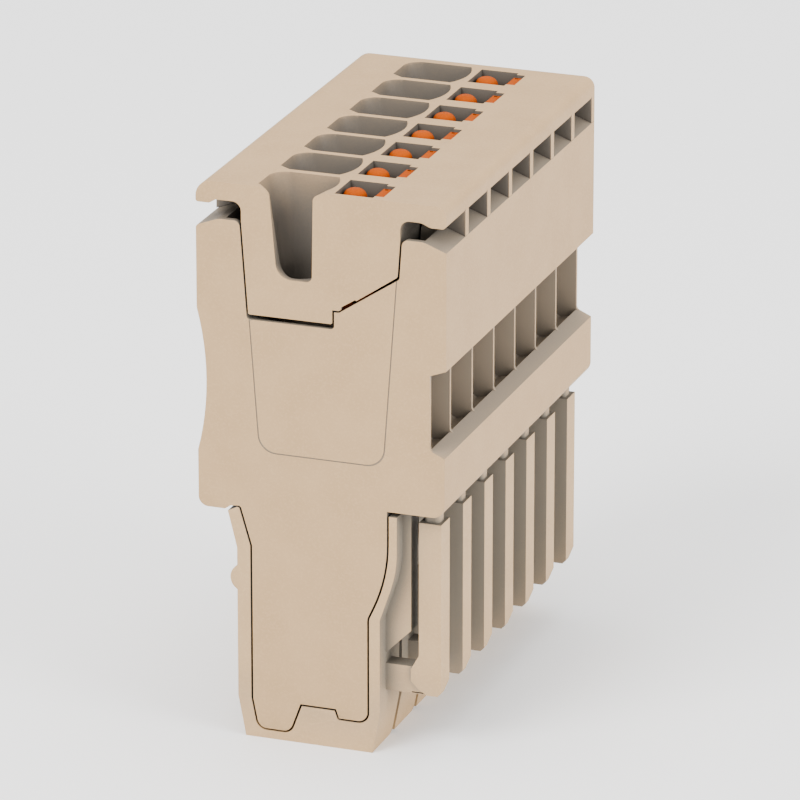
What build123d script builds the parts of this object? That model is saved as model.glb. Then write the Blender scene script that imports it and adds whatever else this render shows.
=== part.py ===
"""Seven-pole pluggable terminal block with push-in clamps and release buttons.

Frame: X across the poles, Y along the row of poles, Z up, in millimetres.
The origin is the middle of the footprint, on the surface that the block stands on.
"""

from build123d import *
import os
from math import atan2, degrees, radians, tan

# Row of poles
pole_count = 7
pole_pitch = 5.1
cell_wall = 0.74

# Housing as a whole
width = 20.6
underside_z = 20.5
body_rise = 22.45
groove_height = 1.55
flange_thickness = 1.45

# Wedge block of the cover, and the trough of the body that it sits in
wedge_half_width = 6.54
wedge_draft = 4.1
wedge_depth = 7.53
wedge_gap = 0.16
seat_gap = 0.42
step_x = 0.95
step_rise = 1.15
step_run = 0.55
elbow_drop = 3.08
corner_radius = 0.3

# Flanges of the cover and the grooves under them
lip_drop = 0.33
lip_length = 1.3
lip_slope = 0.75
lip_radius = 0.4
lip_blend = 1.2
lip_foot_blend = 0.6
groove_root_radius = 0.74
rounding_share = 0.48
left_edge_radius = 1.3
right_edge_radius = 1.0
groove_rib_gap = 0.03

# Shoulders of the body
shoulder_flat = 8.45
shoulder_fall = 0.7
shoulder_radius = 0.5
shoulder_edge_radius = 1.5

# Pockets that widen the trough behind the end walls
pocket_right = 8.4
pocket_left = 7.95
pocket_depth = 5.5
pocket_wall = 0.5

# Thumb grip on the left side
waist_depth = 0.76
waist_height = 11.8
waist_middle_z = 29.6
grip_foot = 1.47
grip_foot_width = 2.2
grip_foot_slope = 0.5
grip_foot_radius = 0.8

# Long notch with windows on the right side
notch_depth = 1.33
notch_top_z = 32.15
notch_height = 6.15
notch_top_fall = 0.5
notch_radius = 0.45
ridge_fall = 0.55
ridge_inset = 0.11
lower_edge_radius = 1.0
window_depth = 2.1
window_back_drop = 0.3
window_trough = 1.3
window_trough_drop = 0.75
window_bank = 0.4
window_bank_drop = 0.6
window_wall = 0.3
window_setback = 0.2

# Engraved outline on the end faces
panel_line = 0.1
panel_line_depth = 0.06
panel_floor_z = 24.1
panel_radius = 1.5

# Wire entries
entry_x = -2.38
entry_radius = 1.65
entry_depth = 7.35
mouth_near = -2.43
mouth_far = 2.07
mouth_near_left = -4.38
mouth_near_right = -0.23
mouth_far_left = -3.98
mouth_far_right = 0.02
mouth_left = -5.35
mouth_right = 0.53
mouth_chamfer = 0.65
mouth_round = 1.4
end_slot_left_top = -4.23
end_slot_left_floor = -3.6
end_slot_right_top = -0.61
end_slot_right_floor = -0.72
end_slot_left_radius = 1.3
end_slot_right_radius = 0.5
end_slot_flare = 0.85
end_slot_flare_drop = 0.35
end_slot_flare_radius = 0.55
entry_wall = 0.05

# Relief in the near end wall, under the first button
relief_left = 1.7
relief_right = 3.05
relief_height = 0.2

# Release buttons and their shafts
shaft_x = 2.6
shaft_length = 3.15
shaft_width = 3.6
shaft_play = 0.06
lug_shaft_length = 0.73
lug_shaft_width = 2.7
button_travel = 1.5
stop_play = 0.2
button_recess = 0.03
post_radius = 0.96
post_edge_radius = 0.75
post_height = 2.1
lug_recess = 0.25
lug_base = 0.8
lug_chamfer = 0.2
lug_mark = 0.26
lug_mark_inset = 0.17
lug_overhang = 0.28
catch_reach = 0.35
catch_height = 0.7
catch_gap = 0.3
leg_length = 1.2
leg_play = 0.05

# Clamp chambers
chamber_left = -5.3
chamber_right = 4.95
chamber_floor_z = 24.4

# Current bars
bar_metal = 0.8
bar_width = 2.8
bar_play = 0.2
bar_top_gap = 0.9
fork_gap = 0.8
fork_metal = 0.6
fork_root_z = 17.0
fork_end_gap = 1.7

# Clamping springs
leaf = 0.35
leaf_width = 2.6
leaf_foot_start = 0.3
leaf_bend = 0.9
leaf_back_inset = 0.45
leaf_loop_drop = 3.1
leaf_tip_rise = 2.4
leaf_tip_gap = 0.1

# Tongues of the body, one for each pole
tongue_left = -5.83
tongue_right = 3.78
tongue_shoulder_left = 0.95
tongue_root_drop = 1.05
tongue_root_radius = 0.35
tongue_shoulder_right = 1.65
tongue_knee_left_z = 16.2
tongue_knee_right_z = 11.3
tongue_bend_z = 14.93
tongue_bend_radius = 13.0
tongue_waist_z = 3.3
toe_floor = 0.67
toe_left_inset = 0.48
toe_length = 2.6
toe_right_run = 0.9
heel_drop = 0.75
heel_length = 2.36
heel_slope = 0.27
tongue_radius = 0.8

# Latch shoes around the tongues
shoe_thickness = 4.47
shoe_back = 0.6
shoe_gap = 0.17
shoe_wall_left = 1.1
shoe_wall_right = 0.88
shoe_arm_wall = 0.65
shoe_top_gap = 0.4
shoe_left_top_gap = 0.1
shoe_arm_lean = 0.75
shoe_arm_z = 15.9
shoe_arm_tip_fall = 0.45
shoe_bend_z = 15.5
shoe_bend_radius = 10.0
shoe_taper_z = 3.4
shoe_taper = 0.64
shoe_toe_radius = 0.6
bump_z = 13.36
bump_radius = 1.15
bump_rise = 0.58
blade_slot = 1.0
blade_width = 2.6

# Latch bars, webs and ribs of the shoes
latch_bar_x = 8.58
latch_bar_length = 1.85
latch_bar_thickness = 1.96
latch_bar_gap = 1.05
latch_bar_foot_z = 5.0
latch_bar_foot_rise = 0.85
nose_reach = 0.67
nose_top_z = 7.05
nose_ramp = 1.2
nose_height = 1.0
nose_radius = 0.3
neck_length = 1.3
neck_setback = 0.35
neck_gap = 0.1
web_thickness = 1.5
web_top_z = 7.2
web_bottom_z = 4.95
rib_gap = 0.72
rib_foot_z = 10.2

# Levels and ends worked out from the sizes above
length = pole_count * pole_pitch
half_length = length / 2
half_width = width / 2
cell_width = pole_pitch - cell_wall
shoulder_z = underside_z + body_rise
flange_z = shoulder_z + groove_height
groove_run = half_width - lip_length - lip_slope - wedge_half_width
root_radius = min(groove_root_radius, groove_height * rounding_share, groove_run * rounding_share)
lip_z = flange_z - lip_drop
top_z = flange_z + flange_thickness
cover_foot_z = shoulder_z - wedge_depth
seat_z = cover_foot_z - seat_gap
ledge_z = cover_foot_z + step_rise
elbow_z = shoulder_z - elbow_drop
ledge_x = step_x + step_run
waist_radius = (waist_height**2 / 4 + waist_depth**2) / (2 * waist_depth)
notch_x = half_width - notch_depth
notch_floor_z = notch_top_z - notch_height
ridge_slope = ridge_fall / (notch_depth - ridge_inset)
entry_foot_z = top_z - entry_depth
lip_thickness = flange_thickness + lip_drop
tongue_thickness = shoe_thickness - shoe_back - shoe_gap
shaft_right = shaft_x + shaft_length / 2
button_top_z = top_z - button_recess
valley_z = button_top_z - post_height
lug_foot_z = valley_z - lug_base
lug_floor_z = lug_foot_z - button_travel - stop_play
shoe_top_z = underside_z - shoe_top_gap
arm_seat_z = underside_z - tongue_root_drop


def wedge_half(z):
    """Half the width of the cover's wedge block at height z."""
    return wedge_half_width - (shoulder_z - z) * tan(radians(wedge_draft))


def cell_start(pole):
    """Y of the front end of a pole's cell, poles counted from 0."""
    return pole * pole_pitch - half_length


def cell_middle(pole):
    """Y of the middle of a pole's cell, where its wire, button and contact lie."""
    return cell_start(pole) + cell_width / 2


def diagonal_z(x):
    """Height of the cover's slanted underside at x."""
    slope = (elbow_z - ledge_z) / (wedge_half(elbow_z) - ledge_x)
    return ledge_z + (x - ledge_x) * slope


def upright(y):
    """The plane of a side profile at y: its first axis is X and its second is Z."""
    return Plane.XZ.offset(-y)


def trapezoid_outline(y, gap):
    """The side profile of the engraved panel line on an end face, grown by gap."""
    with BuildSketch(upright(y)) as outline:
        with BuildLine():
            FilletPolyline(
                (-wedge_half(seat_z) - gap, seat_z + gap),
                (-wedge_half(panel_floor_z) - gap, panel_floor_z - gap),
                (wedge_half(panel_floor_z) + gap, panel_floor_z - gap),
                (wedge_half(elbow_z) + gap, elbow_z + gap),
                radius=[0, panel_radius, panel_radius, 0],
                close=True,
            )
        make_face()
    return outline.sketch


def tongue_outline(y, gap):
    """The side profile of one tongue, grown by gap all round."""
    toe_z = toe_floor + shoe_gap
    heel_z = tongue_waist_z - heel_drop
    toe_right = tongue_left + toe_left_inset + toe_length
    heel_left = tongue_right - heel_length
    with BuildSketch(upright(y)) as outline:
        with BuildLine():
            FilletPolyline(
                (tongue_left - tongue_shoulder_left - 2 * tongue_root_radius, underside_z + gap),
                (tongue_left - tongue_shoulder_left - 2 * tongue_root_radius, arm_seat_z),
                (tongue_left - tongue_shoulder_left, arm_seat_z),
                (tongue_left, tongue_knee_left_z),
                (tongue_left, tongue_waist_z),
                (tongue_left + toe_left_inset, toe_z),
                (toe_right, toe_z),
                (toe_right + toe_right_run, tongue_waist_z),
                (heel_left - heel_slope, tongue_waist_z),
                (heel_left, heel_z),
                (tongue_right, heel_z),
                (tongue_right, tongue_knee_right_z),
                (tongue_right + tongue_shoulder_right, tongue_bend_z),
                (tongue_right + tongue_shoulder_right, underside_z + gap),
                radius=[
                    0,
                    0,
                    tongue_root_radius,
                    0,
                    0,
                    tongue_radius,
                    tongue_radius,
                    0,
                    0,
                    0,
                    tongue_radius,
                    tongue_radius,
                    tongue_bend_radius,
                    0,
                ],
                close=True,
            )
        make_face()
        if gap > 0:
            offset(amount=gap)
    return outline.sketch


# Cover: wedge block, two flanges, wire funnels and button shafts
with BuildPart() as cover:
    with BuildSketch(upright(-half_length)):
        with BuildLine():
            FilletPolyline(
                (-wedge_half(cover_foot_z), cover_foot_z),
                (step_x, cover_foot_z),
                (step_x, ledge_z),
                (ledge_x, ledge_z),
                (wedge_half(elbow_z), elbow_z),
                (wedge_half_width, shoulder_z),
                (wedge_half_width, flange_z),
                (half_width - lip_length - lip_slope, flange_z),
                (half_width - lip_length, lip_z),
                (half_width, lip_z),
                (half_width, top_z),
                (-half_width, top_z),
                (-half_width, lip_z),
                (lip_slope - half_width + lip_slope / 2, lip_z),
                (lip_length + lip_slope / 2 - half_width, flange_z),
                (-wedge_half_width, flange_z),
                (-wedge_half_width, shoulder_z),
                radius=[
                    corner_radius / 2,
                    corner_radius / 2,
                    0,
                    0,
                    corner_radius,
                    0,
                    root_radius,
                    lip_blend,
                    lip_foot_blend,
                    min(lip_radius, lip_thickness / 4),
                    min(right_edge_radius, lip_thickness / 2),
                    min(left_edge_radius, lip_thickness * 0.72),
                    min(lip_radius, lip_thickness / 4) / 2,
                    corner_radius / 2,
                    0,
                    root_radius,
                    0,
                ],
                close=True,
            )
        make_face()
    extrude(amount=-length)

    # Ribs that divide both grooves at the far side of every cell
    for pole in range(pole_count):
        for side in (1, -1):
            with BuildSketch(upright(cell_start(pole) + cell_width)):
                with BuildLine():
                    Polyline(
                        (side * wedge_half_width, flange_z + lip_drop),
                        (side * half_width, flange_z + lip_drop),
                        (side * half_width, shoulder_z - shoulder_fall + groove_rib_gap),
                        (side * shoulder_flat, shoulder_z + groove_rib_gap),
                        (side * wedge_half_width, shoulder_z + groove_rib_gap),
                        close=True,
                    )
                make_face()
            extrude(amount=-cell_wall)

    for pole in range(pole_count):
        middle = cell_middle(pole)
        near = max(middle + mouth_near, entry_wall - half_length)
        mouth = [
            (mouth_near_left, near),
            (mouth_near_right, near),
            (mouth_far_right, middle + mouth_far),
            (mouth_far_left, middle + mouth_far),
            (mouth_left, middle + mouth_far - mouth_round),
            (mouth_left, near + mouth_chamfer),
        ]

        # Funnel from the wide mouth down to the round wire bore
        with BuildSketch(Plane.XY.offset(top_z)):
            with BuildLine():
                Line(mouth[0], mouth[1])
                ThreePointArc(mouth[1], (mouth_right, middle), mouth[2])
                Line(mouth[2], mouth[3])
                TangentArc(mouth[3], mouth[4], tangent=(-1, 0))
                Line(mouth[4], mouth[5])
                Line(mouth[5], mouth[0])
            make_face()
        turns = [degrees(atan2(y - middle, x - entry_x)) for x, y in mouth]
        with BuildSketch(Plane.XY.offset(entry_foot_z)):
            with BuildLine():
                for start, end in zip(turns, turns[1:] + turns[:1]):
                    CenterArc((entry_x, middle), entry_radius, start, (end - start) % 360)
            make_face()
        loft(ruled=True, mode=Mode.SUBTRACT)
        with BuildSketch(Plane.XY.offset(entry_foot_z)):
            with Locations((entry_x, middle)):
                Circle(entry_radius)
        extrude(amount=-entry_depth, mode=Mode.SUBTRACT)

        # Shaft of the button, with the stepped shaft of its lug
        with BuildSketch(Plane.XY.offset(top_z)):
            with Locations((shaft_x, middle)):
                Rectangle(shaft_length, shaft_width)
        extrude(amount=cover_foot_z - top_z, mode=Mode.SUBTRACT)
        with BuildSketch(Plane.XY.offset(top_z)):
            with Locations((shaft_right + lug_shaft_length / 2, middle)):
                Rectangle(lug_shaft_length, lug_shaft_width)
        extrude(amount=lug_floor_z - top_z, mode=Mode.SUBTRACT)

    # Relief that clears the first button's leg
    with BuildSketch(upright(-half_length)):
        with BuildLine():
            Polyline(
                (relief_left, diagonal_z(relief_left) - relief_height),
                (relief_left, diagonal_z(relief_left) + relief_height),
                (relief_right - relief_height, diagonal_z(relief_right)),
                (relief_right, diagonal_z(relief_right) - relief_height),
                close=True,
            )
        make_face()
    extrude(amount=-cell_width / 2, mode=Mode.SUBTRACT)

    # Slot that opens the first wire entry on the end face
    with BuildSketch(upright(-half_length)):
        with BuildLine():
            FilletPolyline(
                (end_slot_left_top - end_slot_flare, top_z),
                (end_slot_left_top, top_z - end_slot_flare_drop),
                (end_slot_left_floor, entry_foot_z),
                (end_slot_right_floor, entry_foot_z),
                (end_slot_right_top, top_z - end_slot_flare_drop),
                (end_slot_right_top + end_slot_flare, top_z),
                radius=[
                    0,
                    end_slot_flare_radius,
                    end_slot_left_radius,
                    end_slot_right_radius,
                    end_slot_flare_radius,
                    0,
                ],
                close=True,
            )
        make_face()
    extrude(amount=-cell_width / 2, mode=Mode.SUBTRACT)
cover.part.label = "cover"


# Body: trough, thumb grip, notch with windows, clamp chambers and tongues
with BuildPart() as body:
    with BuildSketch(upright(-half_length)):
        with BuildLine():
            FilletPolyline(
                (-wedge_half_width - wedge_gap, shoulder_z),
                (-wedge_half(seat_z) - wedge_gap, seat_z),
                (step_x + wedge_gap, seat_z),
                (step_x + wedge_gap, ledge_z - wedge_gap),
                (ledge_x, ledge_z - wedge_gap),
                (wedge_half(elbow_z) + wedge_gap, elbow_z - wedge_gap),
                (wedge_half_width + wedge_gap, shoulder_z),
                (shoulder_flat, shoulder_z),
                (half_width, shoulder_z - shoulder_fall),
                (half_width, notch_top_z + notch_top_fall),
                (notch_x, notch_top_z),
                (notch_x, notch_floor_z),
                (half_width - ridge_inset, notch_floor_z - ridge_fall),
                (half_width - ridge_inset, underside_z),
                (tongue_right, underside_z),
                (grip_foot_width + grip_foot_slope - half_width, arm_seat_z - shoe_left_top_gap),
                (grip_foot_width - half_width, underside_z - grip_foot),
                (-half_width, underside_z - grip_foot),
                (-half_width, shoulder_z - shoulder_fall),
                (-shoulder_flat, shoulder_z),
                radius=[
                    shoulder_radius,
                    corner_radius,
                    corner_radius,
                    0,
                    0,
                    corner_radius,
                    shoulder_radius,
                    shoulder_edge_radius,
                    0,
                    0,
                    0,
                    notch_radius,
                    0,
                    lower_edge_radius,
                    0,
                    corner_radius,
                    corner_radius / 2,
                    grip_foot_radius,
                    corner_radius,
                    shoulder_edge_radius,
                ],
                close=True,
            )
        make_face()
    extrude(amount=-length)

    # Thumb grip
    with BuildSketch(upright(-half_length)):
        with Locations((waist_depth - half_width - waist_radius, waist_middle_z)):
            Circle(waist_radius)
    extrude(amount=-length, mode=Mode.SUBTRACT)

    # Pockets on both sides of the trough, with a wall between neighbours
    for pole in range(pole_count):
        pocket_near = max(cell_start(pole), pocket_wall - half_length)
        pocket_far = cell_start(pole) + cell_width
        with BuildSketch(Plane.XY.offset(shoulder_z)):
            with Locations(((pocket_right - pocket_left) / 2, (pocket_near + pocket_far) / 2)):
                Rectangle(pocket_right + pocket_left, pocket_far - pocket_near)
            with Locations((0, (pocket_near + pocket_far) / 2)):
                Rectangle(2 * wedge_half(seat_z), pocket_far - pocket_near, mode=Mode.SUBTRACT)
        extrude(amount=-pocket_depth, mode=Mode.SUBTRACT)

    # Engraved line that carries the wedge's sides down both end faces
    for end in (-half_length, half_length - panel_line_depth):
        panel_ring = trapezoid_outline(end, 0) - trapezoid_outline(end, -panel_line)
        extrude(panel_ring, amount=panel_line_depth, dir=(0, 1, 0), mode=Mode.SUBTRACT)

    # Windows in the notch, with a thin wall between neighbours
    for pole in range(pole_count):
        window_near = max(cell_start(pole) - window_setback, window_wall - half_length)
        window_far = cell_start(pole + 1) - window_setback - window_wall
        if pole == pole_count - 1:
            window_far = half_length - window_wall
        with BuildSketch(upright(window_near)):
            with BuildLine():
                Polyline(
                    (notch_x + notch_radius, notch_top_z),
                    (notch_x - window_depth, notch_top_z),
                    (notch_x - window_depth, notch_floor_z - window_back_drop),
                    (notch_x - window_trough, notch_floor_z - window_trough_drop),
                    (notch_x - window_bank, notch_floor_z - window_bank_drop),
                    (notch_x, notch_floor_z),
                    (notch_x + notch_radius, notch_floor_z - notch_radius * ridge_slope),
                    close=True,
                )
            make_face()
        extrude(amount=window_near - window_far, mode=Mode.SUBTRACT)

    # Tongues
    for pole in range(pole_count):
        extrude(tongue_outline(cell_start(pole), 0), amount=tongue_thickness, dir=(0, 1, 0))

    for pole in range(pole_count):
        # Clamp chamber, open to the cover
        chamber_near = cell_middle(pole) - shaft_width / 2
        with BuildSketch(upright(chamber_near)):
            with BuildLine():
                Polyline(
                    (chamber_left, chamber_floor_z),
                    (chamber_right, chamber_floor_z),
                    (chamber_right, shoulder_z),
                    (chamber_left, shoulder_z),
                    close=True,
                )
            make_face()
        extrude(amount=-shaft_width, mode=Mode.SUBTRACT)

        # Duct for the contact fork, and the blade slot under it
        duct_right = tongue_left + toe_left_inset + toe_length
        with BuildSketch(Plane.XY.offset(chamber_floor_z)):
            with Locations(((chamber_left + duct_right) / 2, cell_middle(pole))):
                Rectangle(duct_right - chamber_left, bar_width + bar_play)
        extrude(amount=fork_end_gap + shoe_gap - chamber_floor_z, mode=Mode.SUBTRACT)
        fork_middle = chamber_left + bar_play + bar_metal + fork_gap / 2
        with BuildSketch(Plane.XY):
            with Locations((fork_middle, cell_middle(pole))):
                Rectangle(blade_slot, blade_width)
        extrude(amount=tongue_waist_z, mode=Mode.SUBTRACT)
body.part.label = "body"


# Latch shoe of the first pole, copied along the row
with BuildPart() as first_shoe:
    shoe_near = cell_start(0)
    shoe_left = tongue_left - shoe_gap - shoe_wall_left
    shoe_right = tongue_right + shoe_gap + shoe_wall_right
    arm_right = tongue_right + tongue_shoulder_right + shoe_gap + shoe_arm_wall
    arm_left = tongue_left - tongue_shoulder_left - shoe_gap
    shoe_left_top_z = arm_seat_z - shoe_left_top_gap
    with BuildSketch(upright(shoe_near)):
        with BuildLine():
            FilletPolyline(
                (shoe_left + shoe_taper, 0),
                (shoe_right - shoe_taper, 0),
                (shoe_right, shoe_taper_z),
                (shoe_right, tongue_knee_right_z),
                (arm_right, shoe_bend_z),
                (arm_right, shoe_top_z),
                (tongue_right, shoe_top_z),
                (arm_left, shoe_left_top_z),
                (shoe_left - shoe_arm_lean, shoe_left_top_z - shoe_arm_tip_fall),
                (shoe_left, shoe_arm_z),
                (shoe_left, shoe_taper_z),
                radius=[0, 0, 0, nose_radius, shoe_bend_radius, 0, 0, 0, 0, 0, 0],
                close=True,
            )
        make_face()
        with Locations((shoe_left - bump_rise + bump_radius, bump_z)):
            Circle(bump_radius)
    extrude(amount=-shoe_thickness)
    toe_edge = edges().filter_by(Axis.X).group_by(Axis.Z)[0].sort_by(Axis.Y)[-1]
    fillet(toe_edge, radius=min(shoe_toe_radius, shoe_back * 0.95))

    # Tub that takes the tongue
    tub = tongue_outline(shoe_near, shoe_gap)
    extrude(tub, amount=shoe_thickness - shoe_back, dir=(0, 1, 0), mode=Mode.SUBTRACT)

    # Upright rib beside the arm
    web_near = cell_middle(0) - web_thickness / 2
    rib_right = latch_bar_x - latch_bar_length / 2 - rib_gap
    with BuildSketch(upright(web_near)):
        with BuildLine():
            Polyline(
                (shoe_right - shoe_wall_right / 2, rib_foot_z - (rib_right - shoe_right)),
                (shoe_right, rib_foot_z - (rib_right - shoe_right)),
                (rib_right, rib_foot_z),
                (rib_right, shoe_top_z),
                (arm_right - shoe_arm_wall / 2, shoe_top_z),
                (arm_right - shoe_arm_wall / 2, shoe_bend_z),
                (shoe_right - shoe_wall_right / 2, tongue_knee_right_z),
                close=True,
            )
        make_face()
    extrude(amount=-web_thickness)

    # Web that carries the latch bar
    with BuildSketch(upright(web_near)):
        with BuildLine():
            Polyline(
                (shoe_right - shoe_wall_right / 2, web_bottom_z),
                (latch_bar_x, web_bottom_z),
                (latch_bar_x, web_top_z),
                (shoe_right - shoe_wall_right / 2, web_top_z),
                close=True,
            )
        make_face()
    extrude(amount=-web_thickness)

    # Latch bar with its nose and its slanted foot
    bar_near = cell_middle(0) - latch_bar_thickness / 2
    bar_left = latch_bar_x - latch_bar_length / 2
    bar_right = latch_bar_x + latch_bar_length / 2
    bar_top_z = underside_z - latch_bar_gap
    with BuildSketch(upright(bar_near)):
        with BuildLine():
            Polyline(
                (bar_left, bar_top_z),
                (bar_right, bar_top_z),
                (bar_right, latch_bar_foot_z + nose_radius),
                (bar_right - nose_radius, latch_bar_foot_z),
                (bar_left + nose_reach, latch_bar_foot_z),
                (bar_left, nose_top_z - nose_height - nose_reach),
                (bar_left - nose_reach, nose_top_z - nose_height),
                (bar_left - nose_reach, nose_top_z),
                (bar_left, nose_top_z + nose_ramp),
                close=True,
            )
        make_face()
    extrude(amount=-latch_bar_thickness)
    with BuildSketch(Plane.YZ.offset(bar_left - nose_reach)):
        with BuildLine():
            Polyline(
                (bar_near, latch_bar_foot_z),
                (bar_near + latch_bar_thickness, latch_bar_foot_z),
                (bar_near + latch_bar_thickness, latch_bar_foot_z + latch_bar_foot_rise),
                close=True,
            )
        make_face()
    extrude(amount=latch_bar_length + nose_reach, mode=Mode.SUBTRACT)

    # Neck on top of the bar
    neck_depth = latch_bar_thickness - 2 * neck_setback
    with BuildSketch(Plane.XY.offset(bar_top_z)):
        with Locations((latch_bar_x, cell_middle(0))):
            RectangleRounded(neck_length, neck_depth, neck_setback)
    extrude(amount=latch_bar_gap - neck_gap)

    # Slot that the mating blade enters by
    with BuildSketch(Plane.XY):
        with Locations((fork_middle, cell_middle(0))):
            Rectangle(blade_slot, blade_width)
    extrude(amount=toe_floor, mode=Mode.SUBTRACT)


# Current bar of the first pole: clamp plate, shelf and contact fork
with BuildPart() as first_contact:
    plate_left = chamber_left + bar_play
    plate_right = plate_left + bar_metal
    tine_left = plate_right + fork_gap
    tine_right = tine_left + fork_metal
    fork_end_z = fork_end_gap + shoe_gap + bar_play
    shelf_right = chamber_right - bar_play
    with BuildSketch(upright(cell_middle(0) - bar_width / 2)):
        with BuildLine():
            FilletPolyline(
                (plate_left, seat_z - bar_top_gap),
                (plate_left, fork_end_z),
                (plate_left + fork_metal / 2, fork_end_z),
                (plate_right, fork_end_z + fork_gap),
                (plate_right, fork_root_z),
                (tine_left, fork_root_z),
                (tine_left, fork_end_z + fork_gap),
                (tine_right - fork_metal / 2, fork_end_z),
                (tine_right, fork_end_z),
                (tine_right, chamber_floor_z),
                (shelf_right, chamber_floor_z),
                (shelf_right, chamber_floor_z + bar_metal),
                (plate_right, chamber_floor_z + bar_metal),
                (plate_right, seat_z - bar_top_gap),
                radius=[0, 0, 0, 0, fork_gap / 3, fork_gap / 3, 0, 0, 0, 0, 0, 0, bar_play, 0],
                close=True,
            )
        make_face()
    extrude(amount=-bar_width)


# Clamping spring of the first pole: foot, back, loop and clamping leg
with BuildPart() as first_spring:
    leaf_foot_z = chamber_floor_z + bar_metal + leaf / 2
    leaf_back_x = chamber_right - leaf_back_inset - leaf / 2
    leaf_crest_x = leaf_back_x - 2 * leaf_bend
    leaf_crest_z = seat_z - leaf_loop_drop + leaf_bend / 2
    tip_x = plate_right + leaf_tip_gap + leaf
    tip_z = leaf_foot_z + leaf_tip_rise
    with BuildSketch(upright(cell_middle(0) - leaf_width / 2)):
        with BuildLine():
            FilletPolyline(
                (leaf_foot_start, leaf_foot_z),
                (leaf_back_x, leaf_foot_z),
                (leaf_back_x, seat_z - leaf_loop_drop + leaf_bend),
                (leaf_crest_x, leaf_crest_z),
                (tip_x, tip_z),
                radius=[leaf_bend, leaf_bend, leaf_bend],
            )
            offset(amount=leaf / 2)
        make_face()
    extrude(amount=-leaf_width)


# Release button of the first pole
with BuildPart() as first_button:
    button_length = shaft_length - 2 * shaft_play
    button_width = shaft_width - 2 * shaft_play
    button_left = shaft_x - button_length / 2
    button_right = shaft_x + button_length / 2
    catch_top_z = diagonal_z(button_right + catch_reach) - catch_gap
    catch_top_z = min(catch_top_z, diagonal_z(shaft_right) - catch_gap)
    block_foot_z = catch_top_z - catch_height
    leg_right = button_left + leg_length
    leaf_slope = (leaf_crest_z - tip_z) / (leaf_crest_x - tip_x)
    leg_foot_z = tip_z + (leg_right - tip_x) * leaf_slope + leaf + leg_play
    with BuildSketch(Plane.XY.offset(block_foot_z)):
        with Locations((shaft_x, cell_middle(0))):
            Rectangle(button_length, button_width)
    extrude(amount=valley_z - block_foot_z)

    # Leg that presses the spring down
    with BuildSketch(Plane.XY.offset(leg_foot_z)):
        with Locations((button_left + leg_length / 2, cell_middle(0))):
            Rectangle(leg_length, leaf_width)
    extrude(amount=block_foot_z - leg_foot_z)

    # Catch under the edge of the shaft
    with BuildSketch(Plane.XY.offset(block_foot_z)):
        with Locations((button_right + catch_reach / 2, cell_middle(0))):
            Rectangle(catch_reach, leaf_width)
    extrude(amount=catch_height)

    # Round post that the screwdriver presses
    with BuildSketch(Plane.XY.offset(valley_z)):
        with Locations((button_left + post_radius, cell_middle(0))):
            Circle(post_radius)
    extrude(amount=post_height)
    crown = edges().filter_by(GeomType.CIRCLE).group_by(Axis.Z)[-1]
    fillet(crown, radius=min(post_edge_radius, post_radius * 0.9))

    # Lug beside it, in its own stepped shaft
    lug_left = shaft_right + shaft_play
    lug_inner = lug_left - lug_overhang
    lug_length = lug_shaft_length - 2 * shaft_play
    lug_width = lug_shaft_width - 2 * shaft_play
    with BuildSketch(upright(cell_middle(0) - lug_width / 2)):
        with BuildLine():
            Polyline(
                (button_right - lug_length, lug_foot_z),
                (lug_left + lug_length, lug_foot_z),
                (lug_left + lug_length, top_z - lug_recess - lug_chamfer),
                (lug_left + lug_length - lug_chamfer, top_z - lug_recess),
                (lug_inner, top_z - lug_recess),
                (lug_inner, valley_z),
                (button_right - lug_length, valley_z),
                close=True,
            )
        make_face()
    extrude(amount=-lug_width)
    with BuildSketch(Plane.XY.offset(top_z)):
        mark_y = cell_middle(0) + lug_width / 2 - lug_mark_inset
        with Locations((lug_inner + lug_overhang, mark_y)):
            Rectangle(lug_mark, lug_mark)
    extrude(amount=-lug_recess - lug_mark, mode=Mode.SUBTRACT)


os.makedirs("parts", exist_ok=True)
export_step(cover.part, "parts/cover.step")
export_step(body.part, "parts/body.step")

# Copies of the four pieces that every pole has
pole_pieces = {
    "shoe": first_shoe.part,
    "button": first_button.part,
    "contact": first_contact.part,
    "spring": first_spring.part,
}
for pole in range(pole_count):
    for name, first in pole_pieces.items():
        piece = Pos(0, pole * pole_pitch, 0) * first
        piece.label = f"{name}_{pole + 1}"
        export_step(piece, f"parts/{name}_{pole + 1}.step")
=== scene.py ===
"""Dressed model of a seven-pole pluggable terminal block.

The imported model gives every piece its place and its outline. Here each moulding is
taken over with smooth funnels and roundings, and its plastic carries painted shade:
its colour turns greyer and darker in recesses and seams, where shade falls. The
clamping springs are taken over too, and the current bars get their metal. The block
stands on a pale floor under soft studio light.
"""

from __future__ import annotations

import logging
import math
from dataclasses import dataclass, replace
from enum import Enum

import bpy
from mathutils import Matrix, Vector

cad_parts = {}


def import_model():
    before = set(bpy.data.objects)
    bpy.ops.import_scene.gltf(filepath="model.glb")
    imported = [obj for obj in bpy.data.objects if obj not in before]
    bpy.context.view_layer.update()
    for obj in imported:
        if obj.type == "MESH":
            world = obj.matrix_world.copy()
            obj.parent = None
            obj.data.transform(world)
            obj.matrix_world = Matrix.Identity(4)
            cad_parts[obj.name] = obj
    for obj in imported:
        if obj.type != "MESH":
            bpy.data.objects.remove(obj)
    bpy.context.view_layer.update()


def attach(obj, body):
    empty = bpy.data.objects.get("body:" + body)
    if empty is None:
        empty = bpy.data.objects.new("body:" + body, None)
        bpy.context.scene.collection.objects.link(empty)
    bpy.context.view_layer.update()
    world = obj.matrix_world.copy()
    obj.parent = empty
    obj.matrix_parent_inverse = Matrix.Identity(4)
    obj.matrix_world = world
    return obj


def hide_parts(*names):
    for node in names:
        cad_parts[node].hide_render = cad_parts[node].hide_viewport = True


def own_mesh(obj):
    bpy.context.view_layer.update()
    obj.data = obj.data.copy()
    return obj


LOG = logging.getLogger("terminal_block")

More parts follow.
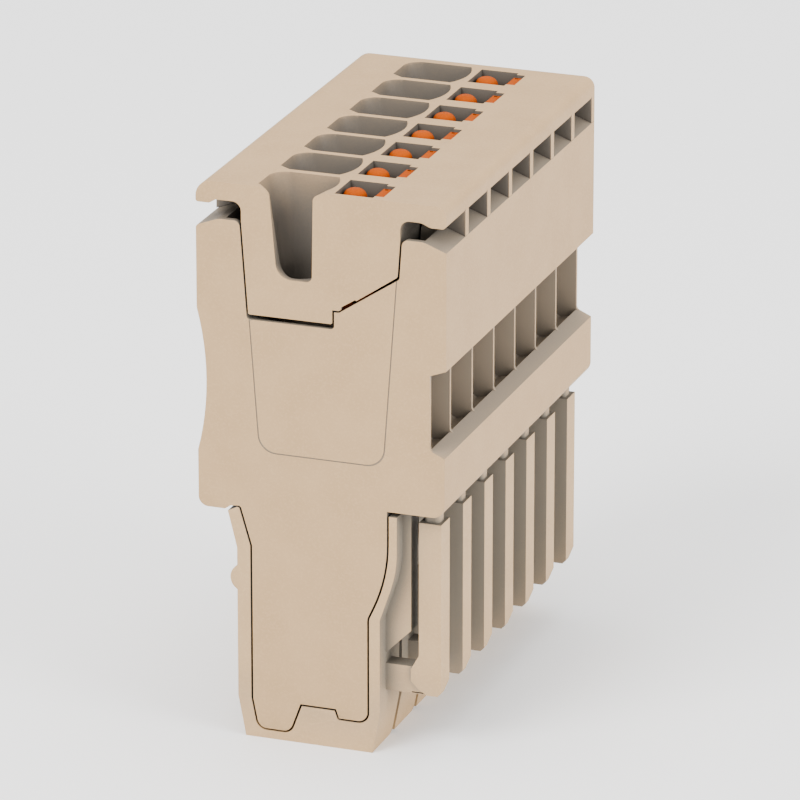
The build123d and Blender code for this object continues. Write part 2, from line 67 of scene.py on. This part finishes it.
Colour = tuple[float, float, float, float]
Point = tuple[float, float, float]

MM = 0.001
PER_MM: Point = (1 / MM, 1 / MM, 1 / MM)
POLES = range(1, 8)
TOP = 45.95 * MM

NOISE_LOW = 0.35
NOISE_HIGH = 0.65
HOLLOW_SAMPLES = 8

MERGE_DISTANCE = 0.0008 * MM
FLAT_ANGLE = math.radians(0.4)
EDGE_ANGLE = math.radians(28)
SMOOTH_ANGLE = math.radians(38)
TRIANGLE = 3
WHOLE_FACE = 60


class Body(Enum):
    """The rigid bodies that pieces ride on."""

    HOUSING = "housing"
    RELEASE = "release"

    def named(self, pole: int | None = None) -> str:
        """Gives the body's name in the frame, with the pole for a release button."""
        return self.value if pole is None else f"{self.value}_{pole}"


class Graining(Enum):
    """How the grain of a metal runs, as the pattern's scale along each axis."""

    UPRIGHT = (1.0, 1.0, 0.06)
    CROSSWISE = (1.0, 0.06, 1.0)


# Painted shade: recesses and seams get a darker colour, read from ambient occlusion.
@dataclass(frozen=True)
class HollowShade:
    """A kind of painted shade that darkens a plastic's colour in a hollow, where shade falls.

    Attributes:
        colour: The painted shade's colour, which the surface takes on in the depth.
        reach: How far away a wall still counts, in metres.
        open: The share of free sky above which a point counts as open.
        shut: The share of free sky below which the painted shade is at its full.
        foot: The height from which it counts, in metres. It is at its full one reach above.
    """

    colour: Colour
    reach: float
    open: float
    shut: float
    foot: float = 0.0


@dataclass
class NodeBench:
    """Lays out the shader nodes of one material.

    Attributes:
        material: The material whose node tree is laid out.
        column: How many nodes stand in the row so far.
        spacing: The distance from one node to the next in the editor.
    """

    material: bpy.types.Material
    column: int = 0
    spacing: int = 200

    def add(self, kind: str, **values: object) -> bpy.types.Node:
        """Adds a shader node and sets its properties.

        Args:
            kind: Blender's type name of the node.
            values: Property names of the node and their values.

        Returns:
            The new node.
        """
        node = self.material.node_tree.nodes.new(kind)
        node.location = (self.spacing * self.column, 0)
        self.column += 1
        for name, value in values.items():
            setattr(node, name, value)
        return node

    def link(self, source: bpy.types.NodeSocket, target: bpy.types.NodeSocket) -> None:
        """Joins two sockets."""
        self.material.node_tree.links.new(source, target)

    def grain(self, scale: Point) -> bpy.types.NodeSocket:
        """Gives object coordinates, scaled.

        Args:
            scale: How many pattern units one metre holds along each axis.

        Returns:
            The socket of the scaled coordinates.
        """
        place = self.add("ShaderNodeTexCoord")
        mapping = self.add("ShaderNodeMapping")
        mapping.inputs["Scale"].default_value = scale
        self.link(place.outputs["Object"], mapping.inputs["Vector"])
        return mapping.outputs["Vector"]

    def noise(self, vector: bpy.types.NodeSocket, scale: float, layers: float) -> bpy.types.NodeSocket:
        """Adds a noise texture on given coordinates.

        Args:
            vector: The coordinates to read.
            scale: How fine the pattern is.
            layers: How many finer layers it has.

        Returns:
            The socket of the noise value.
        """
        noise = self.add("ShaderNodeTexNoise")
        noise.inputs["Scale"].default_value = scale
        noise.inputs["Detail"].default_value = layers
        self.link(vector, noise.inputs["Vector"])
        return noise.outputs["Fac"]

    def spread(self, value: bpy.types.NodeSocket, low: float, high: float) -> bpy.types.NodeSocket:
        """Spreads the middle of a noise value over a range.

        Args:
            value: The noise value.
            low: What the lower end of the middle becomes.
            high: What the upper end of the middle becomes.

        Returns:
            The socket of the spread value.
        """
        spread = self.add("ShaderNodeMapRange")
        spread.inputs["From Min"].default_value = NOISE_LOW
        spread.inputs["From Max"].default_value = NOISE_HIGH
        spread.inputs["To Min"].default_value = low
        spread.inputs["To Max"].default_value = high
        self.link(value, spread.inputs["Value"])
        return spread.outputs["Result"]

    def tint(
        self, amount: bpy.types.NodeSocket, below: bpy.types.NodeSocket | Colour, above: Colour
    ) -> bpy.types.NodeSocket:
        """Mixes one colour over another.

        Args:
            amount: How much of the upper colour shows, from 0 to 1.
            below: The lower colour, or the socket that gives it.
            above: The upper colour.

        Returns:
            The socket of the mixed colour.
        """
        mix = self.add("ShaderNodeMix", data_type="RGBA", blend_type="MIX")
        self.link(amount, mix.inputs["Factor"])
        if isinstance(below, tuple):
            mix.inputs["A"].default_value = below
        else:
            self.link(below, mix.inputs["A"])
        mix.inputs["B"].default_value = above
        return mix.outputs["Result"]

    def painted_shades(self, hollow: HollowShade) -> bpy.types.NodeSocket:
        """Gives how much painted shade each point gets, from how deep in a hollow it lies.

        Args:
            hollow: The kind of painted shade.

        Returns:
            The socket of the value, which is 0 in the open and below the hollow's foot.
        """
        # Painted shade: ambient occlusion, faded in from the foot upwards, sets how far the colour
        # darkens.
        around = self.add("ShaderNodeAmbientOcclusion", samples=HOLLOW_SAMPLES)
        around.inputs["Distance"].default_value = hollow.reach
        place = self.add("ShaderNodeTexCoord")
        height = self.add("ShaderNodeSeparateXYZ")
        self.link(place.outputs["Object"], height.inputs["Vector"])
        most = self.add("ShaderNodeMapRange", interpolation_type="SMOOTHSTEP")
        most.inputs["From Min"].default_value = hollow.foot
        most.inputs["From Max"].default_value = hollow.foot + hollow.reach
        self.link(height.outputs["Z"], most.inputs["Value"])
        shade_mask = self.add("ShaderNodeMapRange")
        shade_mask.inputs["From Min"].default_value = hollow.shut
        shade_mask.inputs["From Max"].default_value = hollow.open
        shade_mask.inputs["To Max"].default_value = 0.0
        self.link(around.outputs["AO"], shade_mask.inputs["Value"])
        self.link(most.outputs["Result"], shade_mask.inputs["To Min"])
        return shade_mask.outputs["Result"]

    def bump(self, height: bpy.types.NodeSocket, strength: float, distance: float) -> bpy.types.NodeSocket:
        """Adds a bump from a height.

        Args:
            height: The height value.
            strength: How strongly it shows.
            distance: The height of the relief in metres.

        Returns:
            The socket of the bent normal.
        """
        bump = self.add("ShaderNodeBump")
        bump.inputs["Strength"].default_value = strength
        bump.inputs["Distance"].default_value = distance
        self.link(height, bump.inputs["Height"])
        return bump.outputs["Normal"]


@dataclass(frozen=True)
class MouldedPlastic:
    """Matt filled polyamide as it comes from a spark-eroded mould.

    Attributes:
        name: The material's name.
        colour: Its middle colour.
        cloud: The colour of the faint clouds in it.
        fleck: The colour of its fine flecks.
        painted_shades: The kinds of painted shade that darken its colour in recesses and seams.
        sheen: The strength of its reflections.
        refraction: Its refractive index.
        roughness: Its middle roughness.
        smoother: How far its smoothest spots lie below the middle roughness.
        rougher: How far its roughest spots lie above it.
        relief: The height of its texture in metres.
        relief_strength: How strongly the texture shows.
        clouds_per_mm: The scale of the clouds.
        cloud_layers: How many finer layers the clouds have.
        flecks_per_mm: The scale of the flecks.
        fleck_layers: How many finer layers the flecks have.
        fleck_least: The share of fleck where the noise is lowest. Below 0 there is none.
        fleck_most: The share of fleck where the noise is highest.
        texture_per_mm: The scale of the texture.
        texture_layers: How many finer layers the texture has.
    """

    name: str
    colour: Colour
    cloud: Colour
    fleck: Colour
    painted_shades: tuple[HollowShade, ...]
    sheen: float = 0.15
    refraction: float = 1.5
    roughness: float = 0.52
    smoother: float = 0.06
    rougher: float = 0.08
    relief: float = 0.006 * MM
    relief_strength: float = 0.5
    clouds_per_mm: float = 0.28
    cloud_layers: float = 3.0
    flecks_per_mm: float = 5.0
    fleck_layers: float = 1.0
    fleck_least: float = -0.6
    fleck_most: float = 0.5
    texture_per_mm: float = 9.0
    texture_layers: float = 2.0

    def material(self) -> bpy.types.Material:
        """Builds the node material of this plastic, painted shade included.

        Returns:
            The new material.
        """
        material = bpy.data.materials.new(self.name)
        material.use_nodes = True
        bench = NodeBench(material)
        shader = material.node_tree.nodes["Principled BSDF"]
        place = bench.grain(PER_MM)
        clouds = bench.spread(bench.noise(place, self.clouds_per_mm, self.cloud_layers), 0.0, 1.0)
        colour = bench.tint(clouds, self.colour, self.cloud)
        specks = bench.noise(place, self.flecks_per_mm, self.fleck_layers)
        flecks = bench.spread(specks, self.fleck_least, self.fleck_most)
        colour = bench.tint(flecks, colour, self.fleck)
        # Painted shade: each kind darkens the colour where ambient occlusion finds a recess or seam.
        for hollow in self.painted_shades:
            colour = bench.tint(bench.painted_shades(hollow), colour, hollow.colour)
        bench.link(colour, shader.inputs["Base Color"])
        texture = bench.noise(place, self.texture_per_mm, self.texture_layers)
        gloss = bench.spread(texture, self.roughness - self.smoother, self.roughness + self.rougher)
        bench.link(gloss, shader.inputs["Roughness"])
        bench.link(bench.bump(texture, self.relief_strength, self.relief), shader.inputs["Normal"])
        shader.inputs["IOR"].default_value = self.refraction
        shader.inputs["Specular IOR Level"].default_value = self.sheen
        return material


@dataclass(frozen=True)
class RolledMetal:
    """Sheet metal with the fine lines of rolling.

    Attributes:
        name: The material's name.
        colour: Its middle colour.
        stain: The colour of its darker streaks.
        run: The way that the lines run.
        roughness: Its middle roughness.
        smoother: How far its smoothest lines lie below the middle roughness.
        rougher: How far its roughest lines lie above it.
        relief: The height of the lines in metres.
        relief_strength: How strongly the lines show.
        lines_per_mm: The scale of the lines, across them.
        line_layers: How many finer layers the lines have.
        stains_per_mm: The scale of the stains.
        stain_layers: How many finer layers the stains have.
        stain_most: The share of stain where it is strongest.
    """

    name: str
    colour: Colour
    stain: Colour
    run: Graining
    roughness: float = 0.28
    smoother: float = 0.08
    rougher: float = 0.12
    relief: float = 0.004 * MM
    relief_strength: float = 0.3
    lines_per_mm: float = 14.0
    line_layers: float = 2.0
    stains_per_mm: float = 0.9
    stain_layers: float = 3.0
    stain_most: float = 0.8

    def material(self) -> bpy.types.Material:
        """Builds the node material of this metal.

        Returns:
            The new material.
        """
        material = bpy.data.materials.new(self.name)
        material.use_nodes = True
        bench = NodeBench(material)
        shader = material.node_tree.nodes["Principled BSDF"]
        lines = bench.grain(tuple(along / MM for along in self.run.value))
        rolled = bench.noise(lines, self.lines_per_mm, self.line_layers)
        stained = bench.noise(bench.grain(PER_MM), self.stains_per_mm, self.stain_layers)
        colour = bench.tint(bench.spread(stained, 0.0, self.stain_most), self.colour, self.stain)
        bench.link(colour, shader.inputs["Base Color"])
        gloss = bench.spread(rolled, self.roughness - self.smoother, self.roughness + self.rougher)
        bench.link(gloss, shader.inputs["Roughness"])
        bench.link(bench.bump(rolled, self.relief_strength, self.relief), shader.inputs["Normal"])
        shader.inputs["Metallic"].default_value = 1.0
        return material


# Painted shade: near-black in the narrow gaps between parts.
SEAM_SHADE = HollowShade((0.012, 0.010, 0.008, 1.0), reach=0.45 * MM, open=0.4, shut=0.1)
# Painted shade: the body's beige plastic, darkened in recesses and seams; the first kind fades in from 8
# mm above the floor.
BODY_BEIGE_SHADED = MouldedPlastic(
    name="body_beige_shaded",
    colour=(0.444, 0.288, 0.148, 1.0),
    cloud=(0.416, 0.268, 0.135, 1.0),
    fleck=(0.480, 0.314, 0.166, 1.0),
    painted_shades=(
        HollowShade((0.240, 0.193, 0.143, 1.0), reach=8.0 * MM, open=0.97, shut=0.8, foot=8.0 * MM),
        HollowShade((0.116, 0.106, 0.090, 1.0), reach=3.6 * MM, open=0.58, shut=0.1),
        SEAM_SHADE,
    ),
)
# Painted shade: the same plastic, darker in the cover's funnels and slots and in seams.
COVER_BEIGE_SHADED = replace(
    BODY_BEIGE_SHADED,
    name="cover_beige_shaded",
    painted_shades=(
        HollowShade((0.120, 0.103, 0.085, 1.0), reach=6.5 * MM, open=0.97, shut=0.5),
        HollowShade((0.078, 0.068, 0.056, 1.0), reach=3.6 * MM, open=0.62, shut=0.12),
        SEAM_SHADE,
    ),
)
# Painted light and shade: the same plastic painted lighter for the shoes, and darkened in recesses and
# seams.
SHOE_BEIGE_LIT_SHADED = replace(
    BODY_BEIGE_SHADED,
    name="shoe_beige_lit_shaded",
    colour=(0.480, 0.318, 0.168, 1.0),
    cloud=(0.446, 0.292, 0.151, 1.0),
    fleck=(0.515, 0.345, 0.186, 1.0),
    painted_shades=(
        HollowShade((0.205, 0.175, 0.136, 1.0), reach=7.0 * MM, open=0.95, shut=0.6),
        HollowShade((0.100, 0.092, 0.078, 1.0), reach=3.6 * MM, open=0.62, shut=0.12),
        SEAM_SHADE,
    ),
)
# Painted shade: the orange darkens down in the button shafts and in seams.
RELEASE_ORANGE_SHADED = MouldedPlastic(
    name="release_orange_shaded",
    colour=(0.345, 0.055, 0.0, 1.0),
    cloud=(0.318, 0.048, 0.0, 1.0),
    fleck=(0.375, 0.063, 0.0, 1.0),
    painted_shades=(HollowShade((0.15, 0.019, 0.0, 1.0), reach=2.5 * MM, open=0.8, shut=0.2), SEAM_SHADE),
    sheen=0.02,
    roughness=0.45,
)
CONTACT_TIN = RolledMetal(
    name="contact_tin",
    colour=(0.66, 0.64, 0.60, 1.0),
    stain=(0.54, 0.51, 0.46, 1.0),
    run=Graining.UPRIGHT,
)
SPRING_STEEL = RolledMetal(
    name="spring_steel",
    colour=(0.56, 0.56, 0.57, 1.0),
    stain=(0.46, 0.45, 0.44, 1.0),
    run=Graining.CROSSWISE,
    roughness=0.22,
)


class Workbench:
    """Selects and edits meshes as by hand, one piece at a time."""

    @staticmethod
    def clear() -> None:
        """Leaves every object unselected."""
        if bpy.context.object is not None and bpy.context.object.mode != "OBJECT":
            bpy.ops.object.mode_set(mode="OBJECT")
        bpy.ops.object.select_all(action="DESELECT")

    @classmethod
    def take(cls, piece: bpy.types.Object) -> None:
        """Makes one piece the only selected and active object.

        Args:
            piece: The piece.
        """
        cls.clear()
        piece.select_set(True)
        bpy.context.view_layer.objects.active = piece

    @classmethod
    def over_node(cls, node: str, name: str, most_corners: int) -> bpy.types.Object:
        """Makes a merged copy of a CAD node's mesh as a new piece.

        Args:
            node: The CAD node's name.
            name: The new piece's name.
            most_corners: The most corners that a whole flat face keeps before it is
                cut into triangles again.

        Returns:
            The new piece, with its doubles merged and its flat faces made whole.
        """
        source = bpy.data.objects[node]
        piece = bpy.data.objects.new(name, source.data.copy())
        bpy.context.scene.collection.objects.link(piece)
        piece.data.materials.clear()
        cls.take(piece)
        bpy.ops.object.mode_set(mode="EDIT")
        bpy.ops.mesh.select_all(action="SELECT")
        bpy.ops.mesh.remove_doubles(threshold=MERGE_DISTANCE)
        bpy.ops.mesh.customdata_custom_splitnormals_clear()
        bpy.ops.mesh.dissolve_limited(angle_limit=FLAT_ANGLE, delimit={"NORMAL"})
        bpy.ops.mesh.select_all(action="DESELECT")
        bpy.ops.mesh.select_mode(type="FACE")
        bpy.ops.mesh.select_face_by_sides(number=most_corners, type="GREATER", extend=False)
        bpy.ops.mesh.quads_convert_to_tris(quad_method="BEAUTY", ngon_method="BEAUTY")
        bpy.ops.object.mode_set(mode="OBJECT")
        return piece

    @classmethod
    def soften(cls, piece: bpy.types.Object, radius: float, steps: int = 2) -> None:
        """Rounds a piece's sharp edges finely and smooths its curved faces.

        Args:
            piece: The piece.
            radius: The most that an edge is rounded, in metres. The tightest spot of
                the piece limits all its edges, so they come out finer than this.
            steps: How many faces each rounded edge has.
        """
        cls.take(piece)
        bevel = piece.modifiers.new("soft_edges", "BEVEL")
        bevel.width = radius
        bevel.segments = steps
        bevel.limit_method = "ANGLE"
        bevel.angle_limit = EDGE_ANGLE
        bevel.use_clamp_overlap = True
        bevel.miter_outer = "MITER_ARC"
        bpy.ops.object.modifier_apply(modifier=bevel.name)
        bpy.ops.object.shade_smooth_by_angle(angle=SMOOTH_ANGLE)
        weigh = piece.modifiers.new("flat_faces", "WEIGHTED_NORMAL")
        weigh.keep_sharp = True
        bpy.ops.object.modifier_apply(modifier=weigh.name)


@dataclass
class Moulding:
    """One plastic moulding taken over from the frame.

    Attributes:
        node: The CAD node that it stands for.
        slot: The record's material slot. It is not used.
        body: The body that it rides on.
        edge_radius: The most that its edges are rounded, in metres.
        most_corners: The most corners of a flat face that stays whole.
    """

    node: str
    slot: str
    body: str
    edge_radius: float = 0.06 * MM
    most_corners: int = WHOLE_FACE

    def build(self, shaded_plastic: bpy.types.Material) -> None:
        """Builds the smoothed moulding and dresses it.

        Args:
            shaded_plastic: The moulding's material, with its painted shade.
        """
        piece = Workbench.over_node(self.node, f"moulded_{self.node}", self.most_corners)
        Workbench.soften(piece, self.edge_radius)
        piece.data.materials.append(shaded_plastic)
        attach(piece, self.body)
        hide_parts(self.node)
        LOG.info("%s: %d faces", piece.name, len(piece.data.polygons))


@dataclass
class Housing:
    """Cover, body and the row of latch shoes, all of the same plastic.

    Attributes:
        cover_plastic_shaded: The plastic as it looks on the cover, with painted shade set for it.
        body_plastic_shaded: The plastic as it looks on the body, with painted shade set for it.
        shoe_plastic_lit_shaded: The plastic painted lighter for the latch shoes, with painted shade set
            for them.
    """

    # Painted shade: each part gets its own copy of the plastic, darkened in recesses and seams; the shoes'
    # copy is painted lighter.
    cover_plastic_shaded: MouldedPlastic = COVER_BEIGE_SHADED
    body_plastic_shaded: MouldedPlastic = BODY_BEIGE_SHADED
    shoe_plastic_lit_shaded: MouldedPlastic = SHOE_BEIGE_LIT_SHADED

    def build(self) -> None:
        """Builds and dresses every moulding of the housing."""
        body = Body.HOUSING.named()
        cover = Moulding("cover", "housing", body, most_corners=TRIANGLE)
        cover.build(self.cover_plastic_shaded.material())
        Moulding("body", "housing", body).build(self.body_plastic_shaded.material())
        plastic = self.shoe_plastic_lit_shaded.material()
        for pole in POLES:
            Moulding(f"shoe_{pole}", "housing", body).build(plastic)


@dataclass
class ReleaseRow:
    """The row of release buttons.

    Attributes:
        shaded_plastic: Their plastic, with painted shade in the shafts and seams.
        edge_radius: The most that their edges are rounded, in metres.
    """

    shaded_plastic: MouldedPlastic = RELEASE_ORANGE_SHADED
    edge_radius: float = 0.05 * MM

    def build(self) -> None:
        """Builds and dresses the seven buttons."""
        plastic = self.shaded_plastic.material()
        for pole in POLES:
            body = Body.RELEASE.named(pole)
            Moulding(f"button_{pole}", "release", body, self.edge_radius).build(plastic)


@dataclass
class ClampRow:
    """Current bars and clamping springs inside the housing.

    Attributes:
        bar_finish: The bars' metal.
        spring_finish: The springs' metal.
        pressed_height: The share of its height that a spring keeps under a pressed button. It is not used.
        most_corners: The most corners of a flat side of a spring that stays whole.
    """

    bar_finish: RolledMetal = CONTACT_TIN
    spring_finish: RolledMetal = SPRING_STEEL
    pressed_height: float = 0.8
    most_corners: int = WHOLE_FACE

    def dress(self, node: str, metal: bpy.types.Material) -> None:
        """Gives a CAD node its metal.

        Args:
            node: The CAD node's name.
            metal: The material.
        """
        mesh = bpy.data.objects[node].data
        if not mesh.materials:
            mesh.materials.append(metal)
        for place in range(len(mesh.materials)):
            mesh.materials[place] = metal
        LOG.info("%s: %s", node, metal.name)

    def bend_spring(self, pole: int, metal: bpy.types.Material) -> None:
        """Takes over a spring as a merged copy that rides on the housing.

        Args:
            pole: The pole whose spring it is.
            metal: The material.
        """
        node = f"spring_{pole}"
        leaf = Workbench.over_node(node, f"bent_{node}", self.most_corners)
        leaf.data.materials.append(metal)
        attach(leaf, Body.HOUSING.named())
        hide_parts(node)
        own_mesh(leaf)
        LOG.info("%s: %d faces", leaf.name, len(leaf.data.polygons))

    def build(self) -> None:
        """Dresses every bar and takes over every spring."""
        tin = self.bar_finish.material()
        steel = self.spring_finish.material()
        for pole in POLES:
            self.dress(f"contact_{pole}", tin)
            self.bend_spring(pole, steel)


@dataclass(frozen=True)
class SoftLight:
    """A round area light that is turned to the middle of the block.

    Attributes:
        name: The light's name.
        place: Where it hangs, in metres.
        size: Its diameter in metres.
        power: Its power in watts.
    """

    name: str
    place: Point
    size: float
    power: float

    def hang(self) -> None:
        """Puts the light up."""
        lamp = bpy.data.lights.new(self.name, "AREA")
        lamp.shape = "DISK"
        lamp.size = self.size
        lamp.energy = self.power
        holder = bpy.data.objects.new(self.name, lamp)
        bpy.context.scene.collection.objects.link(holder)
        holder.location = self.place
        holder.rotation_mode = "QUATERNION"
        aim = Vector((0.0, 0.0, TOP / 2)) - Vector(self.place)
        holder.rotation_quaternion = aim.to_track_quat("-Z", "Y")


@dataclass
class Studio:
    """Pale floor, soft lights and the camera at the photograph's angle.

    Attributes:
        aim: The point that the camera looks at, in metres.
        turn: How far round the block the camera stands, in degrees.
        rise: How high above the horizon it stands, in degrees.
        distance: Its distance from the point, in metres.
        lens: Its focal length in millimetres.
        sensor: The width of its sensor in millimetres.
        near: The nearest distance that it sees, in metres.
        far: The farthest distance that it sees, in metres.
        floor_size: The floor's side, in metres.
        floor_colour: The floor's colour.
        floor_roughness: The floor's roughness.
        air_colour: The colour of the ambient light.
        air_strength: The strength of the ambient light.
        lights: The soft lights.
    """

    aim: Point = (6.525 * MM, -17.85 * MM, 29.9 * MM)
    turn: float = 20.0
    rise: float = 20.0
    distance: float = 525.2 * MM
    lens: float = 306.0
    sensor: float = 36.0
    near: float = 0.01
    far: float = 50.0
    floor_size: float = 6.0
    floor_colour: Colour = (0.93, 0.93, 0.93, 1.0)
    floor_roughness: float = 0.9
    air_colour: Colour = (1.0, 1.0, 1.0, 1.0)
    air_strength: float = 1.3
    lights: tuple[SoftLight, ...] = (
        SoftLight("key", (-0.35, -0.75, 0.75), 0.60, 13.0),
        SoftLight("side", (0.95, -0.25, 0.40), 0.60, 10.0),
        SoftLight("sky", (0.0, 0.1, 1.1), 0.90, 9.2),
    )

    def towards(self) -> Vector:
        """Gives the direction from the aimed point to the camera.

        Returns:
            The direction, one metre long.
        """
        turn, rise = math.radians(self.turn), math.radians(self.rise)
        return Vector(
            (math.sin(turn) * math.cos(rise), -math.cos(turn) * math.cos(rise), math.sin(rise))
        )

    def build_camera(self) -> None:
        """Puts up the camera and makes it the scene's."""
        data = bpy.data.cameras.new("photo_camera")
        camera = bpy.data.objects.new("photo_camera", data)
        bpy.context.scene.collection.objects.link(camera)
        data.sensor_width = self.sensor
        data.lens = self.lens
        data.clip_start = self.near
        data.clip_end = self.far
        camera.location = Vector(self.aim) + self.towards() * self.distance
        camera.rotation_mode = "QUATERNION"
        camera.rotation_quaternion = (-self.towards()).to_track_quat("-Z", "Y")
        bpy.context.scene.camera = camera

    def build_floor(self) -> None:
        """Lays the floor and gives it a plain pale finish."""
        Workbench.clear()
        bpy.ops.mesh.primitive_plane_add(size=self.floor_size)
        floor = bpy.context.object
        floor.name = "studio_floor"
        pale = bpy.data.materials.new("studio_pale")
        pale.use_nodes = True
        shader = pale.node_tree.nodes["Principled BSDF"]
        shader.inputs["Base Color"].default_value = self.floor_colour
        shader.inputs["Roughness"].default_value = self.floor_roughness
        floor.data.materials.append(pale)

    def build_air(self) -> None:
        """Sets the ambient light."""
        world = bpy.data.worlds.new("studio_air")
        world.use_nodes = True
        backdrop = world.node_tree.nodes["Background"]
        backdrop.inputs["Color"].default_value = self.air_colour
        backdrop.inputs["Strength"].default_value = self.air_strength
        bpy.context.scene.world = world

    def build(self) -> None:
        """Sets up the whole studio."""
        self.build_camera()
        self.build_floor()
        for light in self.lights:
            light.hang()
        self.build_air()
        LOG.info("studio: camera at %.0f and %.0f degrees", self.turn, self.rise)


def main() -> None:
    """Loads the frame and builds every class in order."""
    logging.basicConfig(level=logging.INFO, format="%(name)s %(message)s")
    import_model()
    Studio().build()
    Housing().build()
    ReleaseRow().build()
    ClampRow().build()
    Workbench.clear()


if __name__ == "__main__":
    main()
